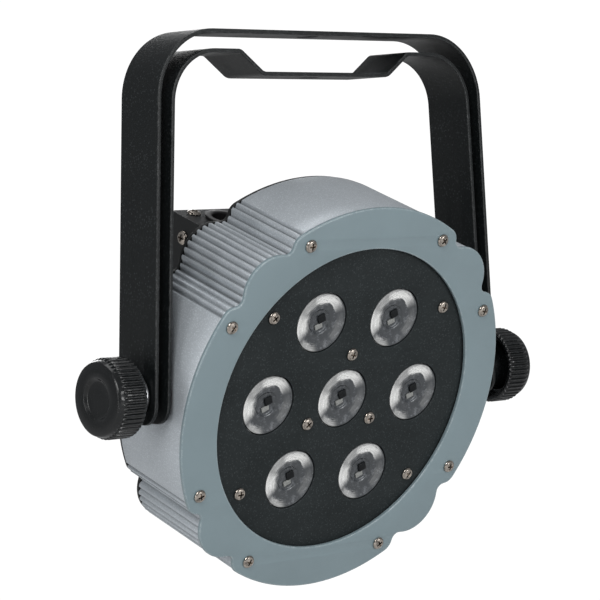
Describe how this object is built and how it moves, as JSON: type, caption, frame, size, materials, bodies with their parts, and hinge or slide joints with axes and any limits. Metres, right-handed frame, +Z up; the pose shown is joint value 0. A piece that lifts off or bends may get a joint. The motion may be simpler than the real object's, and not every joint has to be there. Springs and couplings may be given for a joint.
{
  "type": "par can light",
  "caption": "Slim LED par can light: ribbed round head with a scalloped bezel and recessed lenses, hung in a double U-shaped yoke with clamping knobs.",
  "frame": {"origin": "centre of the clamp hole on the top face of the outer yoke", "axes": "+Z up out of the clamp hole, X along the head's pivot axis, -Y towards the side the lenses face"},
  "size_m": [0.269, 0.1378, 0.276],
  "materials": {
    "black_paint": "satin black powder coat",
    "bezel_paint": "satin blue-grey paint",
    "plate_paint": "fine textured black paint",
    "housing_silver": "silver metallic paint on an aluminium ring",
    "bare_aluminium": "milled",
    "clear_lens": "clear moulded optic",
    "white_board": "white solder mask",
    "green_board": "green solder mask",
    "nickel_screw": "nickel plate",
    "zinc_steel": "zinc plate",
    "knob_plastic": "semi-gloss moulded black",
    "black_moulding": "moulded black",
    "fibre": "pressed fibre",
    "window": "smoked red window"
  },
  "bodies": {
    "yoke": {"outer_yoke": "black_paint", "left_spacer_bush": "black_moulding", "right_spacer_bush": "black_moulding"},
    "stand_yoke": {"inner_yoke": "black_paint"},
    "head": {"housing": "housing_silver", "bezel": "bezel_paint", "lens_plate": "plate_paint", "lens_centre": "clear_lens", "lens_1": "clear_lens", "lens_2": "clear_lens", "lens_3": "clear_lens", "lens_4": "clear_lens", "lens_5": "clear_lens", "lens_6": "clear_lens", "led_board": "white_board", "led_carrier": "bare_aluminium", "rear_cover": "black_paint", "bezel_screw_1": "nickel_screw", "bezel_screw_2": "nickel_screw", "bezel_screw_3": "nickel_screw", "bezel_screw_4": "nickel_screw", "bezel_screw_5": "nickel_screw", "bezel_screw_6": "nickel_screw", "bezel_screw_7": "nickel_screw", "bezel_screw_8": "nickel_screw", "plate_screw_1": "nickel_screw", "plate_screw_2": "nickel_screw", "plate_screw_3": "nickel_screw", "plate_screw_4": "nickel_screw", "carrier_screw_1": "nickel_screw", "carrier_screw_2": "nickel_screw", "carrier_screw_3": "nickel_screw", "box_tray": "zinc_steel", "rear_box": "black_paint", "driver_board": "green_board", "control_board": "green_board", "display_window": "window", "data_in_socket": "black_moulding", "data_out_socket": "black_moulding", "power_inlet": "black_moulding", "power_outlet": "black_moulding", "box_top_screw_1": "nickel_screw", "box_side_screw_1": "nickel_screw", "box_top_screw_2": "nickel_screw", "box_side_screw_2": "nickel_screw", "left_friction_washer": "fibre", "left_pivot_insert": "zinc_steel", "right_friction_washer": "fibre", "right_pivot_insert": "zinc_steel"},
    "left_washer": {"left_knob_washer": "zinc_steel"},
    "left_clamp": {"left_knob": "knob_plastic", "left_knob_stud": "zinc_steel"},
    "right_washer": {"right_knob_washer": "zinc_steel"},
    "right_clamp": {"right_knob": "knob_plastic", "right_knob_stud": "zinc_steel"},
    "button_1": {"menu_button_1": "black_moulding"},
    "button_2": {"menu_button_2": "black_moulding"},
    "button_3": {"menu_button_3": "black_moulding"},
    "button_4": {"menu_button_4": "black_moulding"},
    "latch": {"data_latch": "nickel_screw"}
  },
  "joints": [
    {"name": "head_tilt", "type": "hinge", "parent": "yoke", "child": "head", "pos_m": [0, 0, -0.1727], "axis": [1, 0, 0], "range_deg": [-109, 71]},
    {"name": "stand_yoke_swing", "type": "hinge", "parent": "yoke", "child": "stand_yoke", "pos_m": [0, 0, -0.1727], "axis": [1, 0, 0], "range_deg": [-120, 120]},
    {"name": "left_washer_slide", "type": "slide", "parent": "head", "child": "left_washer", "axis": [-1, 0, 0], "range_m": [0, 0.0025]},
    {"name": "left_knob_turn", "type": "hinge", "parent": "left_washer", "child": "left_clamp", "pos_m": [-0.12, 0, -0.1727], "axis": [-1, 0, 0], "range_deg": [0, 720]},
    {"name": "right_washer_slide", "type": "slide", "parent": "head", "child": "right_washer", "axis": [1, 0, 0], "range_m": [0, 0.0025]},
    {"name": "right_knob_turn", "type": "hinge", "parent": "right_washer", "child": "right_clamp", "pos_m": [0.12, 0, -0.1727], "axis": [1, 0, 0], "range_deg": [0, 720]},
    {"name": "menu_button_1_press", "type": "slide", "parent": "head", "child": "button_1", "axis": [0, -0.9455, -0.3256], "range_m": [0, 0.0012], "stiffness_N_per_m": 600, "springref_m": -0.0006},
    {"name": "menu_button_2_press", "type": "slide", "parent": "head", "child": "button_2", "axis": [0, -0.9455, -0.3256], "range_m": [0, 0.0012], "stiffness_N_per_m": 600, "springref_m": -0.0006},
    {"name": "menu_button_3_press", "type": "slide", "parent": "head", "child": "button_3", "axis": [0, -0.9455, -0.3256], "range_m": [0, 0.0012], "stiffness_N_per_m": 600, "springref_m": -0.0006},
    {"name": "menu_button_4_press", "type": "slide", "parent": "head", "child": "button_4", "axis": [0, -0.9455, -0.3256], "range_m": [0, 0.0012], "stiffness_N_per_m": 600, "springref_m": -0.0006},
    {"name": "data_latch_press", "type": "slide", "parent": "head", "child": "latch", "axis": [0, 0.3256, -0.9455], "range_m": [0, 0.0015], "stiffness_N_per_m": 800, "springref_m": -0.0006}
  ],
  "couplings": [
    {"joint": "left_knob_turn", "follows": "left_washer_slide", "rad_per_m": 5026.5},
    {"joint": "right_knob_turn", "follows": "right_washer_slide", "rad_per_m": 5026.5}
  ]
}
